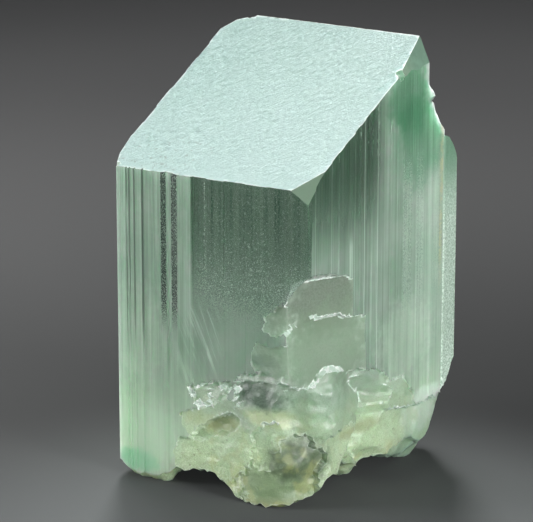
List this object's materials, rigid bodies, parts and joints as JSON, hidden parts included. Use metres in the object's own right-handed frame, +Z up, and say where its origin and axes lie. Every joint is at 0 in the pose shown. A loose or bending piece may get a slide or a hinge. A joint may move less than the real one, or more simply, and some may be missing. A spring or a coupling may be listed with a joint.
{
  "type": "spodumene crystal",
  "caption": "Free-standing prismatic crystal with striated sides, a sloping etched end and a broken, lumpy foot that it stands on",
  "frame": {"origin": "under the middle of the crystal's bounding box, on the plane that its broken foot rests on", "axes": "+Z up along the prism, -Y out of the wider front face, +X out of the right face"},
  "size_m": [0.0368, 0.0398, 0.0658],
  "materials": {
    "green_spodumene": "gloss"
  },
  "bodies": {
    "root": {"spodumene_crystal": "green_spodumene"}
  },
  "joints": []
}
